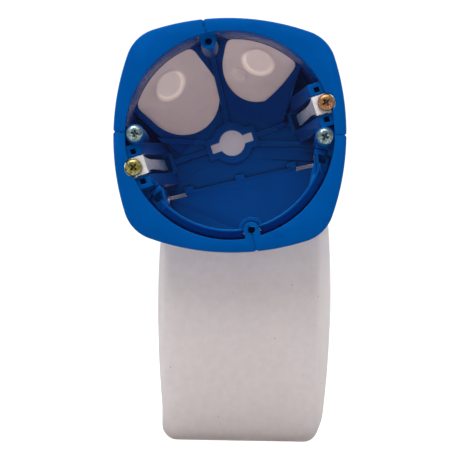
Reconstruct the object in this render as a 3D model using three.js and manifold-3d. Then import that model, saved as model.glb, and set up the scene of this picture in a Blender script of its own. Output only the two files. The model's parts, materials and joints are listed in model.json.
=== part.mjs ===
// Flush-mounting wall box with an airtight rear skin, two clamping claws, and a soft pocket that hangs
// below the box for a small electronics module. Millimetres, +Z up.
// The box's axis is Y: the room is at -Y, the wall cavity at +Y. The geometry is drawn from the plane of the
// flange's rear face, which rests on the wall board, and the finished group is moved so that its origin is
// the centre of the box's rear face.
import * as THREE from "three";
import { mergeVertices } from "three/addons/utils/BufferGeometryUtils.js";
import Module from "manifold-3d";

// ---------------------------------------------------------------- driving dimensions

const FLANGE = { half: 36.75, tall: 1.008, sideRadius: 78, cornerRadius: 12.5, thickness: 1.8, edge: 0.5 };
const BARREL = { frontOuter: 34, rearOuter: 32.9, frontInner: 33.1, rearInner: 31.9 };
const FLOOR = { front: 38.2, rear: 39.8 };
const SEGMENTS = 72; // flats round the barrel

// 45 degree entry facets, rising from a foot line on the floor. Each stops at a side wall beside its claw:
// side is +1 where that wall faces growing azimuths, and reach is its distance from the entry's middle.
// The right entry's window leaves its round end at a corner, given by its angle, and bows out from there.
const FACET = { foot: 9.8, thickness: 1.2, windowWall: 32.4, cornerRound: 2 };
const ENTRIES = [
  { azimuth: 139, centre: 22.4, radius: 12.5, from: 114, to: 162, side: 1, reach: 14.5, nippleAt: 25.7 },
  {
    azimuth: 71.9,
    centre: 26.1,
    radius: 11.4,
    from: 49.5,
    to: 93.3,
    side: -1,
    reach: 13.7,
    nippleAt: 25.9,
    corner: -77.3,
    bow: { radius: 23.8, azimuth: 47.7 },
  },
];
const NIPPLE = { bore: 5.4, outer: 6.4, recess: 0.7, cap: 0.9 };

const DEVICE = { radius: 30, post: 3.1, postFront: -0.3, pilot: 1.65, pilotEnd: 27 };
const SPARE = { azimuth: 103.8, radius: 30.6, boss: 2.5, pilot: 1.15, pilotDepth: 14 };

const CLAW = { azimuth: 19.5, radius: 32, channel: 3.3, pillar: 7.2, seat: 0.35, window: 3.2 };
const STRAP = {
  thickness: 0.7,
  plateFront: -0.55,
  plateHalf: 3,
  legTop: 28,
  legFoot: 23,
  legEnd: 37.9,
  topHalf: 2.9,
  waistHalf: 1.6,
  footHalf: 1.9,
};
const JAW = { front: 25, plate: 1.4, boss: 5, reach: 37, half: 2.9, tooth: 1.2 };
const SCREW = { head: 2.75, headHeight: 1.85, shank: 1.5, bore: 1.65 };

const DETAIL = { hubRadius: 6.8, lobe: 8.6, lobeHalf: 3.5, hubHeight: 1.2, ribHalf: 0.75, ribHeight: 1 };

const SHUTTER = {
  azimuth: 284, // direction from the box's centre to the middle of the shutter's arc
  edge: 12.4, // distance of its straight edge from the box's centre
  slitEdge: 13.9,
  slitFrom: 18.6,
  slitTo: 25.4,
  plateFront: 36.4,
  plateRear: 38,
  wallRadius: 29.6,
  wall: 1,
  wallFront: 5.5,
  arcHalfAngle: 55,
  endHalfAngle: 66.5,
  endRadius: 27.4,
  bandOuter: 32.5,
  bandHalfAngle: 54.5,
  stepDrop: 1.6,
  stepThickness: 2.4,
  stepHalfAngle: 65.5,
  seatFront: 9.8, // the barrel's ledge under the lip
  seatInner: 31.4,
  seatThickness: 1.2,
  tabs: [-17.4, 0, 17.4],
};

const SKIN = { gap: 0.2, thickness: 0.8, front: 17, lowest: -5.2 };
const POCKET = {
  front: 18,
  rear: 43.2,
  wall: 1.2,
  top: -5.6,
  bottom: -97.4,
  centre: 2.25,
  lean: 0.016,
  half: 25.2,
  flare: 3.2,
  drift: 0.09,
  belly: -52,
  corner: 4.5,
  rearCorner: 8.5,
};

// ---------------------------------------------------------------- solids out of three.js geometry

const wasm = await Module();
wasm.setup();

const radians = THREE.MathUtils.degToRad;
const polar = (radius, degrees) =>
  new THREE.Vector2(radius * Math.cos(radians(degrees)), radius * Math.sin(radians(degrees)));

function solid(geometry) {
  const bare = geometry.index ? geometry.toNonIndexed() : geometry.clone();
  bare.deleteAttribute("normal");
  bare.deleteAttribute("uv");
  const merged = mergeVertices(bare, 1e-4);
  const vertProperties = merged.attributes.position.array;
  const triVerts = new Uint32Array(merged.index.array);
  const made = new wasm.Manifold(new wasm.Mesh({ numProp: 3, vertProperties, triVerts }));
  if (made.volume() > 0) return made;
  for (let i = 0; i < triVerts.length; i += 3) {
    [triVerts[i + 1], triVerts[i + 2]] = [triVerts[i + 2], triVerts[i + 1]];
  }
  return new wasm.Manifold(new wasm.Mesh({ numProp: 3, vertProperties, triVerts }));
}

const asSolid = (shape) => (shape.isBufferGeometry ? solid(shape) : shape);
const join = (...shapes) => shapes.map(asSolid).reduce((a, b) => a.add(b));
const cut = (base, ...tools) => tools.map(asSolid).reduce((a, b) => a.subtract(b), asSolid(base));
const common = (a, b) => asSolid(a).intersect(asSolid(b));

function geometryOf(shape) {
  const mesh = shape.getMesh();
  const count = mesh.numProp;
  const position = new Float32Array(mesh.numVert * 3);
  for (let i = 0; i < mesh.numVert; i++) {
    position.set(mesh.vertProperties.subarray(i * count, i * count + 3), i * 3);
  }
  const geometry = new THREE.BufferGeometry();
  geometry.setAttribute("position", new THREE.BufferAttribute(position, 3));
  geometry.setIndex(new THREE.BufferAttribute(mesh.triVerts, 1));
  geometry.computeVertexNormals();
  return geometry;
}

// A flat outline in X and Z, made solid from depth y0 to depth y1.
function prism(shape, y0, y1, curveSegments = 16) {
  const options = { depth: y1 - y0, bevelEnabled: false, curveSegments };
  return new THREE.ExtrudeGeometry(shape, options).rotateX(Math.PI / 2).translate(0, y1, 0);
}

// A body of revolution about Y from [radius, depth] pairs.
function turned(pairs, segments = SEGMENTS) {
  return new THREE.LatheGeometry(pairs.map(([r, y]) => new THREE.Vector2(r, y)), segments);
}

function block(x0, x1, y0, y1, z0, z1) {
  const box = new THREE.BoxGeometry(x1 - x0, y1 - y0, z1 - z0);
  return box.translate((x0 + x1) / 2, (y0 + y1) / 2, (z0 + z1) / 2);
}

function rod(radius, y0, y1, x = 0, z = 0, segments = 28) {
  return new THREE.CylinderGeometry(radius, radius, y1 - y0, segments).translate(x, (y0 + y1) / 2, z);
}

// Turns a geometry made on the +X side round the box's axis to an azimuth, counted from +X towards +Z.
const at = (azimuth, geometry) => geometry.clone().rotateY(-radians(azimuth));

// ---------------------------------------------------------------- shared envelopes

const outerRadius = (y) =>
  BARREL.frontOuter + ((BARREL.rearOuter - BARREL.frontOuter) * y) / FLOOR.rear;

// Places a geometry made about Y, facing +Y, on an entry's facet at a distance from the box's axis.
function onFacet(entry, distance, geometry) {
  const depth = FLOOR.front - (distance - FACET.foot);
  return at(entry.azimuth, geometry.clone().rotateZ(-Math.PI / 4).translate(distance, depth, 0));
}

// Everything beyond an entry facet, moved outward by an offset square to the facet.
function beyondFacet(entry, offset) {
  const size = 70;
  const wallSide = entry.side * (entry.reach - offset);
  const slab = new THREE.BoxGeometry(4 * size, size, size);
  slab.translate(0, offset + size / 2, wallSide - (entry.side * size) / 2);
  return onFacet(entry, FACET.foot, slab);
}

// The barrel's outside from depth y0 to its floor, grown by an offset.
function envelope(y0, offset) {
  const profile = [
    [0, y0],
    [outerRadius(y0) + offset, y0],
    [BARREL.rearOuter + offset, FLOOR.rear + offset],
    [0, FLOOR.rear + offset],
  ];
  const facets = ENTRIES.map((entry) => beyondFacet(entry, FACET.thickness + offset));
  return cut(turned(profile), ...facets);
}

// The space inside the barrel, its floor and facets raised by an inset.
function cavity(inset) {
  const profile = [
    [0, -3],
    [BARREL.frontInner, -3],
    [BARREL.frontInner, -FLANGE.thickness],
    [BARREL.rearInner, FLOOR.front - inset],
    [0, FLOOR.front - inset],
  ];
  return cut(turned(profile), ...ENTRIES.map((entry) => beyondFacet(entry, -inset)));
}

// ---------------------------------------------------------------- box body

// Rounded square with bulging sides.
function flangeOutline() {
  const { half, sideRadius, cornerRadius } = FLANGE;
  const back = sideRadius - half;
  const reach = sideRadius - cornerRadius;
  const corner = (Math.sqrt(2 * reach * reach - back * back) - back) / 2;
  const turn = Math.atan2(corner, corner + back);
  const outline = new THREE.Shape();
  for (let side = 0; side < 4; side++) {
    const a = (side * Math.PI) / 2;
    outline.absarc(-back * Math.cos(a), -back * Math.sin(a), sideRadius, a - turn, a + turn);
    const diagonal = a + Math.PI / 4;
    const cx = corner * Math.SQRT2 * Math.cos(diagonal);
    const cz = corner * Math.SQRT2 * Math.sin(diagonal);
    outline.absarc(cx, cz, cornerRadius, a + turn, a + Math.PI / 2 - turn);
  }
  return outline;
}

function flange() {
  const { thickness, edge } = FLANGE;
  const plate = new THREE.ExtrudeGeometry(flangeOutline(), {
    depth: thickness - 2 * edge,
    bevelThickness: edge,
    bevelSize: edge,
    bevelOffset: -edge,
    bevelSegments: 2,
    curveSegments: 10,
  });
  return plate.scale(1, FLANGE.tall, 1).rotateX(Math.PI / 2).translate(0, -edge, 0);
}

// A sight line across the flange with a nick in its rim, for lining the box up on the wall.
function alignmentMark(azimuth) {
  const rim = FLANGE.half + 0.9 * Math.abs(Math.sin(radians(azimuth)));
  const front = -FLANGE.thickness;
  const line = block(BARREL.frontInner - 1, rim + 1, front - 1, front + 0.3, -0.22, 0.22);
  const nick = new THREE.CylinderGeometry(0.9, 0.9, 4, 4).translate(rim + 0.35, -1, 0);
  return [at(azimuth, line), at(azimuth, nick)];
}

// Teardrop entry window: an arc along the barrel wall, closed by tangents to a circle nearer the hub.
function entryOutline({ azimuth, centre, radius, from, to, corner, bow }) {
  const { windowWall, cornerRound } = FACET;
  const middle = polar(centre, azimuth);
  const lead = THREE.MathUtils.radToDeg(cornerRound / windowWall);
  const outline = new THREE.Shape();
  outline.absarc(0, 0, windowWall, radians(from + lead), radians(to - lead));
  const tangentAt = (corner, side) => {
    const arm = corner.clone().sub(middle);
    return arm.angle() + side * Math.acos(radius / arm.length());
  };
  const corners = [polar(windowWall, to), polar(windowWall, from)];
  const [start, end] = [tangentAt(corners[0], 1), tangentAt(corners[1], -1)];
  const touch = (angle) => polar(radius, THREE.MathUtils.radToDeg(angle)).add(middle);
  const leave = (corner, target) => corner.clone().add(target.clone().sub(corner).setLength(cornerRound));
  const first = leave(corners[0], touch(start));
  outline.quadraticCurveTo(corners[0].x, corners[0].y, first.x, first.y);
  outline.absarc(middle.x, middle.y, radius, start, bow ? radians(corner) : end);
  const control = bow ? polar(bow.radius, bow.azimuth) : touch(end);
  const last = leave(corners[1], control);
  outline.quadraticCurveTo(control.x, control.y, last.x, last.y);
  const closing = polar(windowWall, from + lead);
  outline.quadraticCurveTo(corners[1].x, corners[1].y, closing.x, closing.y);
  return outline;
}

// Raised plate round the central keyhole, with ribs running out from it.
function hubAndRibs() {
  const { hubRadius, lobe, lobeHalf, hubHeight, ribHalf, ribHeight } = DETAIL;
  const ring = rod(hubRadius, 30, FLOOR.front + 0.5, 0, 0, 48);
  const lobes = at(CLAW.azimuth, block(-lobe, lobe, 30, FLOOR.front + 0.5, -lobeHalf, lobeHalf));
  const rib = (azimuth, end) => at(azimuth, block(5, end, 12, FLOOR.front + 0.5, -ribHalf, ribHalf));
  const ribs = [rib(0, 28), rib(180, 28), rib(CLAW.azimuth, 21), rib(CLAW.azimuth + 180, 21)];
  const hub = cut(join(ring, lobes), cavity(hubHeight));
  return join(hub, cut(join(...ribs, rib(SPARE.azimuth, SPARE.radius)), cavity(ribHeight)));
}

function keyhole() {
  const hole = rod(4.25, FLOOR.front - 3, FLOOR.rear + 1, 0, 0, 48);
  const lugs = at(CLAW.azimuth, block(-7.1, 7.1, FLOOR.front - 3, FLOOR.rear + 1, -1.45, 1.45));
  return join(hole, lugs);
}

// The ramped pillars on each side of a claw, with their square sockets.
function clawPillars(azimuth) {
  const ramp = new THREE.Shape();
  ramp.moveTo(28.2, 0.6);
  ramp.lineTo(34, 0.6);
  ramp.lineTo(34, FLOOR.front + 0.5);
  ramp.lineTo(20.8, FLOOR.front + 0.5);
  const depth = CLAW.pillar - CLAW.channel;
  const socketAt = (CLAW.pillar + CLAW.channel) / 2 - 0.3;
  return [1, -1].map((side) => {
    const wedge = new THREE.ExtrudeGeometry(ramp, { depth, bevelEnabled: false });
    wedge.translate(0, 0, side > 0 ? CLAW.channel : -CLAW.pillar);
    const x = 30.6;
    const z = side * socketAt;
    const socket = block(x - 0.85, x + 0.85, -1, 12, z - 0.85, z + 0.85);
    return cut(at(azimuth, wedge), at(azimuth, socket));
  });
}

// The keeper on the floor that the strap's foot hooks behind.
function clawKeeper(azimuth) {
  const top = FLOOR.front - 1.6;
  const bar = block(20.2, 21.6, top, FLOOR.front + 0.5, -3.5, 3.5);
  const feet = [1, -1].map((side) => {
    const [z0, z1] = side > 0 ? [2.7, 3.5] : [-3.5, -2.7];
    return block(21.4, 23.4, top, FLOOR.front + 0.5, z0, z1);
  });
  return [bar, ...feet].map((piece) => at(azimuth, piece));
}

function clawCuts(azimuth) {
  const { radius, channel, seat, window } = CLAW;
  return [
    rod(3, -3, seat, radius, 0, 32),
    rod(1.9, -1, window + 1, radius, 0),
    block(31, 36, window, FLOOR.front, -channel, channel),
  ].map((piece) => at(azimuth, piece));
}

// An open screw post with a web back to the wall, its shaft growing thicker towards its foot.
function sparePost(azimuth, front, foot, growth) {
  const { radius, boss, pilot, pilotDepth } = SPARE;
  const shaft = new THREE.CylinderGeometry(boss + growth, boss, foot - front, 32);
  shaft.translate(radius, (front + foot) / 2, 0);
  const post = join(shaft, block(radius, 33.2, front, foot, -boss, boss));
  const bored = cut(post, rod(pilot, front - 1, front + pilotDepth, radius, 0));
  return solid(at(azimuth, geometryOf(bored)));
}

function shutterOpening() {
  const reach = 40;
  const below = block(-reach, reach, FLOOR.front - 4, FLOOR.rear + 1, -reach, -SHUTTER.edge - 0.3);
  const round = rod(30, FLOOR.front - 4, FLOOR.rear + 1, 0, 0, SEGMENTS);
  const hole = common(at(SHUTTER.azimuth - 270, below), round);
  const beyondEdge = block(-reach, reach, 0, 60, -reach, -SHUTTER.edge - 1.6);
  const throat = block(-20.5, 25, POCKET.front + 2.2, FLOOR.rear + 1, -reach, -14);
  return [hole, common(at(SHUTTER.azimuth - 270, beyondEdge), throat)];
}

// Ledges of the barrel that the shutter's lip rests on, and that close the wall beside the shutter's ends.
function shutterSeats() {
  const { azimuth, wallFront, endHalfAngle, endRadius, stepHalfAngle } = SHUTTER;
  const { seatFront, seatInner, seatThickness } = SHUTTER;
  const outer = BARREL.frontOuter;
  const ring = flatRing(seatInner, outer, seatFront, seatThickness);
  const seat = sector(ring, outer, stepHalfAngle, seatInner, stepHalfAngle);
  const front = wallFront + 0.6;
  const rear = seatFront + seatThickness;
  const ends = [1, -1].flatMap((side) => {
    const beyond = block(endRadius, 31.5, front, rear, ...beside(side, 0.8, 2.6));
    const behind = block(31.25, 33.4, front, rear, ...beside(side, -0.8, 3.6));
    return [beyond, behind].map((piece) => at(270 + side * (endHalfAngle + 1), piece));
  });
  return solid(at(azimuth - 270, geometryOf(join(seat, ...ends))));
}

function boxBody() {
  const windows = ENTRIES.map((e) => prism(entryOutline(e), 14, FLOOR.rear + 2));
  const [hole, throat] = shutterOpening();
  const outside = join(flange(), envelope(0, 0));
  const shell = cut(outside, cavity(0), ...windows, hole, throat);

  const claws = [CLAW.azimuth, CLAW.azimuth + 180];
  const spares = [SPARE.azimuth, SPARE.azimuth + 180];
  const { radius, post, postFront } = DEVICE;
  const posts = [radius, -radius].map((x) => rod(post, postFront, FLOOR.front + 0.5, x, 0, 36));
  const fittings = join(
    hubAndRibs(),
    ...posts,
    ...claws.flatMap(clawPillars),
    ...claws.flatMap(clawKeeper),
    sparePost(spares[0], 1.2, FLOOR.front + 0.5, 0.8),
    shutterSeats(),
  );
  const lowerPost = sparePost(spares[1], -FLANGE.thickness, SHUTTER.plateRear, 0);
  const pilots = [radius, -radius].map((x) => rod(DEVICE.pilot, -2, DEVICE.pilotEnd, x, 0));
  const inside = common(fittings, envelope(-FLANGE.thickness, -0.1));
  return cut(
    join(shell, inside, lowerPost),
    keyhole(),
    ...pilots,
    ...claws.flatMap(clawCuts),
    ...[0.8, 179.2, ...spares].flatMap(alignmentMark),
  );
}

// ---------------------------------------------------------------- shutter over the pocket's mouth

// Outline of the space inside the shutter's curved wall, made on the -Z side and grown by an offset.
function shutterOutline(offset) {
  const { wallRadius, arcHalfAngle, endHalfAngle, endRadius } = SHUTTER;
  const outline = new THREE.Shape();
  const left = polar(endRadius + offset, 270 - endHalfAngle);
  const right = polar(endRadius + offset, 270 + endHalfAngle);
  outline.moveTo(left.x, left.y);
  outline.absarc(0, 0, wallRadius + offset, radians(270 - arcHalfAngle), radians(270 + arcHalfAngle));
  outline.lineTo(right.x, right.y);
  outline.lineTo(right.x, 10);
  outline.lineTo(left.x, 10);
  return outline;
}

function shutterPlate() {
  const { edge, slitEdge, slitFrom, slitTo, plateFront, plateRear, tabs } = SHUTTER;
  const disc = rod(30.9, plateFront, plateRear, 0, 0, SEGMENTS);
  const keep = block(-40, 40, plateFront - 1, plateRear + 1, -40, -edge);
  const slits = [
    [-slitTo, -slitFrom],
    [slitFrom, slitTo],
  ].map(([x0, x1]) => block(x0, x1, plateFront - 1, plateRear + 1, -slitEdge, 0));
  const flaps = tabs.map((x) => block(x - 1.5, x + 1.5, plateFront, plateRear, -edge - 1, -edge + 1.5));
  return join(cut(common(disc, keep), ...slits), ...flaps);
}

function shutterWall() {
  const { wall, wallFront, plateRear, endHalfAngle, endRadius } = SHUTTER;
  const outer = prism(shutterOutline(wall), wallFront, plateRear, 40);
  const inner = prism(shutterOutline(0), wallFront - 1, plateRear + 1, 40);
  const below = block(-40, 40, 0, 40, -40, -endRadius * Math.cos(radians(endHalfAngle)));
  const arc = common(cut(outer, inner), below);
  const returns = [1, -1].map((side) => {
    const [z0, z1] = side < 0 ? [-wall / 2, wall] : [-wall, wall / 2];
    const wallEnd = block(endRadius - 0.2, 30.9, wallFront, plateRear, z0, z1);
    return at(270 + side * (endHalfAngle + 1), wallEnd);
  });
  return join(arc, ...returns);
}

// A flat ring between two radii.
function flatRing(inner, outer, front, thickness) {
  const rear = front + thickness;
  return turned([
    [inner, front],
    [outer, front],
    [outer, rear],
    [inner, rear],
    [inner, front],
  ]);
}

// A range of z given for the shutter's right end, mirrored for its left end.
const beside = (side, near, far) => (side > 0 ? [near, far] : [-far, -near]);

// The part of a ring within a half angle at its outer radius, its ends slanting out to the inner radius.
function sector(ring, outerRadius, outerHalfAngle, innerRadius, innerHalfAngle) {
  const span = new THREE.Shape();
  const far = 80;
  for (const side of [-1, 1]) {
    const inner = polar(innerRadius, 270 + side * innerHalfAngle);
    const outer = polar(outerRadius, 270 + side * outerHalfAngle);
    const beyond = inner.clone().lerp(outer, far / inner.distanceTo(outer));
    const pair = side < 0 ? [inner, beyond] : [beyond, inner];
    pair.forEach((point) => span.lineTo(point.x, point.y));
  }
  return common(ring, prism(span, 0, 30));
}

// The lip that closes the gap between the curved wall and the barrel, with a lower step at its ends. A blind
// square socket is sunk in each step.
function shutterBand() {
  const { wallRadius, wallFront, bandOuter, bandHalfAngle, plateRear } = SHUTTER;
  const { endRadius, endHalfAngle, stepDrop, stepThickness, stepHalfAngle } = SHUTTER;
  const lip = turned([
    [wallRadius + 0.4, wallFront - 0.2],
    [bandOuter - 0.3, wallFront + 0.7],
    [bandOuter, wallFront + 1.1],
    [bandOuter, wallFront + 2.4],
    [wallRadius, wallFront + 2.4],
    [wallRadius, wallFront + 0.2],
    [wallRadius + 0.4, wallFront - 0.2],
  ]);
  const stepFront = wallFront + stepDrop;
  const shelf = flatRing(endRadius, bandOuter, stepFront, stepThickness);
  const band = sector(lip, bandOuter, bandHalfAngle, wallRadius, bandHalfAngle + 6.5);
  const step = sector(shelf, bandOuter, stepHalfAngle, endRadius, endHalfAngle);
  const sockets = [1, -1].map((side) => {
    const [z0, z1] = beside(side, -3.6, -1.3);
    const socket = block(29, 31.2, stepFront - 1, stepFront + stepThickness - 0.6, z0, z1);
    return at(270 + side * (endHalfAngle + 1), socket);
  });
  return join(band, cut(step, prism(shutterOutline(0), wallFront - 1, plateRear + 1, 40), ...sockets));
}

function shutter() {
  const { azimuth, wallFront, plateRear } = SHUTTER;
  const lean = SPARE.azimuth + 180 - azimuth;
  const { radius, boss } = SPARE;
  const gap = 0.35;
  const aside = (geometry) => at(270 + lean, geometry);
  const collar = aside(rod(4.2, wallFront, plateRear, radius, 0, 40));
  const well = [
    aside(rod(boss + gap, wallFront - 2, plateRear + 1, radius, 0, 40)),
    aside(block(radius, 36, wallFront - 2, plateRear + 1, -boss - gap, boss + gap)),
  ];
  const trimmed = common(collar, rod(30.6, 0, 40, 0, 0, SEGMENTS));
  return cut(join(shutterPlate(), shutterWall(), shutterBand(), trimmed), ...well);
}

// ---------------------------------------------------------------- soft rear skin

// An outward cap on an entry facet: the solid to add to the skin, and the hollow to take out of it.
function nipple(entry) {
  const { bore, outer, recess, cap } = NIPPLE;
  const start = FACET.thickness + SKIN.gap;
  return {
    add: onFacet(entry, entry.nippleAt, rod(outer, start, start + recess + cap)),
    remove: onFacet(entry, entry.nippleAt, rod(bore, start - 2, start + recess)),
  };
}

function rearSkin() {
  const { gap, thickness, front, lowest } = SKIN;
  const nipples = ENTRIES.map(nipple);
  const shell = join(envelope(front, gap + thickness), ...nipples.map((n) => n.add));
  const clawGaps = [CLAW.azimuth, CLAW.azimuth + 180].map((azimuth) =>
    at(azimuth, block(29, 40, front - 5, FLOOR.rear + 5, -4.4, 4.4)),
  );
  const below = block(-50, 50, 0, 60, -60, lowest);
  return cut(shell, envelope(front - 1, gap), ...nipples.map((n) => n.remove), ...clawGaps, below);
}

// ---------------------------------------------------------------- soft module pocket

// A closed loft through rings of points, each ring one depth.
function loft(rings) {
  const count = rings[0].length;
  const positions = [];
  const triangle = (...points) => points.forEach((p) => positions.push(p.x, p.y, p.z));
  for (let r = 0; r + 1 < rings.length; r++) {
    for (let i = 0; i < count; i++) {
      const j = (i + 1) % count;
      triangle(rings[r][i], rings[r][j], rings[r + 1][j]);
      triangle(rings[r][i], rings[r + 1][j], rings[r + 1][i]);
    }
  }
  const centreOf = (ring) => ring.reduce((sum, p) => sum.add(p), new THREE.Vector3()).divideScalar(count);
  const first = centreOf(rings[0]);
  const last = centreOf(rings[rings.length - 1]);
  for (let i = 0; i < count; i++) {
    const j = (i + 1) % count;
    triangle(first, rings[0][j], rings[0][i]);
    triangle(last, rings[rings.length - 1][i], rings[rings.length - 1][j]);
  }
  return new THREE.BufferGeometry().setAttribute("position", new THREE.Float32BufferAttribute(positions, 3));
}

// The pocket's half-width at a depth and height: straight at its face, barrel-shaped at its back.
function pocketHalf(y, z) {
  const { front, rear, half, flare, belly, bottom } = POCKET;
  const back = THREE.MathUtils.smoothstep(y, front, rear - 8);
  const height = (z - belly) / (bottom - belly);
  return half + flare * back * (1 - height * height);
}

// One ring of the pocket: a rounded rectangle with barrel sides, drawn in by an inset.
function pocketRing(y, inset) {
  const { centre, lean, drift, front, rear, top, bottom, corner, rearCorner } = POCKET;
  const low = bottom + inset;
  const high = top - inset;
  const depth = (y - front) / (rear - front);
  const round = corner + (rearCorner - corner) * depth - inset / 2;
  const points = [];
  const add = (side, z, pull) => {
    const middle = centre + drift * (y - front) - lean * z;
    points.push(new THREE.Vector3(middle + side * (pocketHalf(y, z) - inset - pull), y, z));
  };
  const sideSteps = 6;
  const cornerSteps = 5;
  const run = Array.from({ length: cornerSteps }, (_, i) => {
    const angle = ((Math.PI / 2) * i) / cornerSteps;
    return [low + round * (1 - Math.cos(angle)), round * (1 - Math.sin(angle))];
  });
  for (let i = 0; i <= sideSteps; i++) run.push([low + round + ((high - low - round) * i) / sideSteps, 0]);
  run.forEach(([z, pull]) => add(1, z, pull));
  run.reverse().forEach(([z, pull]) => add(-1, z, pull));
  return points;
}

// The pocket's outside, or its inside when inset by the wall.
function pocketForm(inset) {
  const { front, rear } = POCKET;
  const soft = [
    [0, 2.2],
    [0.5, 1.1],
    [1.5, 0.35],
    [3, 0],
  ];
  const face = soft.map(([step, pull]) => [front + inset + step, inset + pull]);
  const middle = [24, 28, 32, 36].map((y) => [y, inset]);
  const back = soft.map(([step, pull]) => [rear - inset - step, inset + pull]).reverse();
  return loft([...face, ...middle, ...back].map(([y, pull]) => pocketRing(y, pull)));
}

function modulePocket() {
  const bag = cut(pocketForm(0), pocketForm(POCKET.wall));
  const socket = envelope(POCKET.front - 4, SKIN.gap);
  const room = block(-60, 60, POCKET.front - 5, FLOOR.rear + SKIN.gap, SKIN.lowest - 25, 20);
  const mouth = common(room, turned([[0, 10], [33, 10], [33, 45], [0, 45]]));
  return cut(bag, socket, mouth);
}

// ---------------------------------------------------------------- metal parts

// A pan head with a crossed recess over a plain shank, its head's underside at depth 0.
function screw(length) {
  const { head, headHeight, shank } = SCREW;
  const blank = turned(
    [
      [0, -headHeight],
      [head - 0.9, -headHeight],
      [head - 0.25, -headHeight + 0.35],
      [head, -headHeight + 1],
      [head, 0],
      [shank, 0],
      [shank, length - 1.5],
      [0.35, length],
      [0, length],
    ],
    20,
  );
  const bar = () => block(-1.35, 1.35, -headHeight - 1, -headHeight + 1.1, -0.35, 0.35);
  return cut(blank, bar(), bar().rotateY(Math.PI / 2));
}

// The claw's steel strap, on the +X side: a plate under the screw's head and a waisted leg to the floor.
function strap() {
  const { thickness, plateFront, plateHalf, legTop, legFoot, legEnd, topHalf, waistHalf, footHalf } = STRAP;
  const plateRear = plateFront + thickness;
  const pad = join(
    block(legTop, CLAW.radius, plateFront, plateRear, -plateHalf, plateHalf),
    rod(2.6, plateFront, plateRear, CLAW.radius, 0, 32),
  );
  const down = new THREE.Vector3(legFoot - legTop, legEnd - plateFront, 0);
  const length = down.length();
  const leg = new THREE.Shape();
  leg.moveTo(-topHalf, 0);
  leg.quadraticCurveTo(-waistHalf, length * 0.12, -waistHalf, length * 0.4);
  leg.lineTo(-footHalf, length * 0.92);
  leg.lineTo(-footHalf + 0.3, length);
  leg.lineTo(footHalf - 0.3, length);
  leg.lineTo(footHalf, length * 0.92);
  leg.lineTo(waistHalf, length * 0.4);
  leg.quadraticCurveTo(waistHalf, length * 0.12, topHalf, 0);
  const strip = new THREE.ExtrudeGeometry(leg, { depth: thickness, bevelEnabled: false, curveSegments: 10 });
  const along = down.clone().normalize();
  const across = new THREE.Vector3(0, 0, 1);
  const normal = new THREE.Vector3().crossVectors(across, along);
  strip.applyMatrix4(new THREE.Matrix4().makeBasis(across, along, normal));
  strip.translate(legTop + thickness, plateFront, 0);
  return cut(join(pad, strip), rod(1.8, plateFront - 1, plateRear + 1, CLAW.radius, 0));
}

// The travelling jaw, on the +X side: a threaded boss with a toothed plate that bites the board's back.
function jaw() {
  const { front, plate, boss, reach, half, tooth } = JAW;
  const back = front + plate + boss;
  const body = block(29.6, 33.4, front, back, -half, half);
  const wing = block(29.6, reach, front, front + plate, -half, half);
  const teeth = [-2.2, 0, 2.2].map((z) => {
    const spike = new THREE.Shape();
    spike.moveTo(z - 0.7, 0.2);
    spike.lineTo(z, -tooth);
    spike.lineTo(z + 0.7, 0.2);
    const point = new THREE.ExtrudeGeometry(spike, { depth: 1, bevelEnabled: false });
    return point.rotateY(Math.PI / 2).scale(1, 1, -1).translate(reach - 1, front, 0);
  });
  return cut(join(body, wing, ...teeth), rod(SCREW.bore, front - 2, back + 1, CLAW.radius, 0, 24));
}

// ---------------------------------------------------------------- assembly

const plastic = (color, roughness) => new THREE.MeshStandardMaterial({ color, roughness, metalness: 0 });
const metal = (color, roughness) => new THREE.MeshStandardMaterial({ color, roughness, metalness: 1 });
const FINISH = {
  blue: plastic(0x0058b0, 0.4),
  white: plastic(0xd9d2cf, 0.6),
  steel: metal(0xc9c6c8, 0.4),
  yellowZinc: metal(0xc9a24e, 0.3),
  clearZinc: metal(0xb9c6c6, 0.3),
};

function piece(name, shape, material) {
  const mesh = new THREE.Mesh(geometryOf(shape), material);
  mesh.name = name;
  return mesh;
}

function deviceScrew(name, side) {
  const made = piece(name, screw(24), FINISH.clearZinc);
  made.position.set(side * DEVICE.radius, DEVICE.postFront - 0.2, 0);
  return made;
}

function claw(side, azimuth) {
  const assembly = new THREE.Group();
  const turner = piece(`${side}_claw_screw`, screw(34.7), FINISH.yellowZinc);
  turner.position.set(CLAW.radius, STRAP.plateFront - 0.2, 0);
  assembly.add(turner);
  assembly.add(piece(`${side}_claw_strap`, strap(), FINISH.steel));
  assembly.add(piece(`${side}_claw_jaw`, jaw(), FINISH.steel));
  assembly.rotation.y = -radians(azimuth);
  return assembly;
}

const object = new THREE.Group();
object.add(
  piece("box_body", boxBody(), FINISH.blue),
  piece("rear_skin", rearSkin(), FINISH.white),
  piece("module_pocket", modulePocket(), FINISH.white),
  deviceScrew("left_device_screw", -1),
  deviceScrew("right_device_screw", 1),
  claw("right", CLAW.azimuth),
  claw("left", CLAW.azimuth + 180),
);

const cover = piece("pocket_shutter", shutter(), FINISH.blue);
cover.rotation.y = -radians(SHUTTER.azimuth - 270);
object.add(cover);

// The exported frame's origin is the centre of the skin's rear face, on the box's axis.
const rearFace = FLOOR.rear + SKIN.gap + SKIN.thickness;
object.position.y = -rearFace;

export default object;
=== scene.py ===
"""Looks for a flush-mounting wall box: blue plastic, a soft translucent skin and pocket, and plated screws.

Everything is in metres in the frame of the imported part: +Z up, the room at -Y, the wall cavity at +Y.
"""

import json
import math

import bmesh
import bpy
from mathutils import Matrix, Vector


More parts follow.
